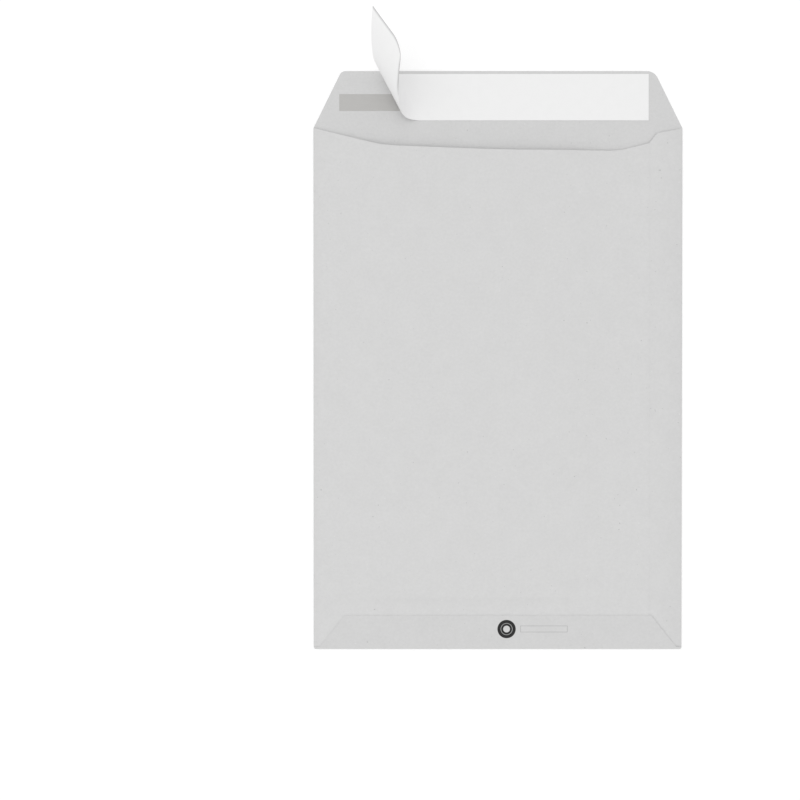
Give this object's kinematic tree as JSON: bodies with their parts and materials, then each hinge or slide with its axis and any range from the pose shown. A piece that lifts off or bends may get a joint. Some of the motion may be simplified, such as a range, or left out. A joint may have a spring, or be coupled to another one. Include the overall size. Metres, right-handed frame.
{
  "type": "envelope",
  "caption": "Flat C4 pocket envelope of grey recycled paper, back side up, flap open, its release liner half peeled and curling.",
  "frame": {"origin": "middle of the 229 x 324 mm body, on its address side, which is the plane that it lies on", "axes": "+Z out of the back of the envelope, +Y towards the throat flap, +X to the side seam"},
  "size_m": [0.229, 0.382, 0.0464],
  "materials": {
    "recycled_paper": "uncoated recycled",
    "glassine": "translucent",
    "glue": "dried glue",
    "adhesive": "tacky satin",
    "release_paper": "siliconised, smooth"
  },
  "bodies": {
    "root": {"paper_blank": "recycled_paper", "window_pane": "glassine", "window_glue": "glue", "side_seam_glue": "glue", "bottom_seam_glue": "glue", "adhesive_strip": "adhesive", "release_liner": "release_paper"}
  },
  "joints": []
}
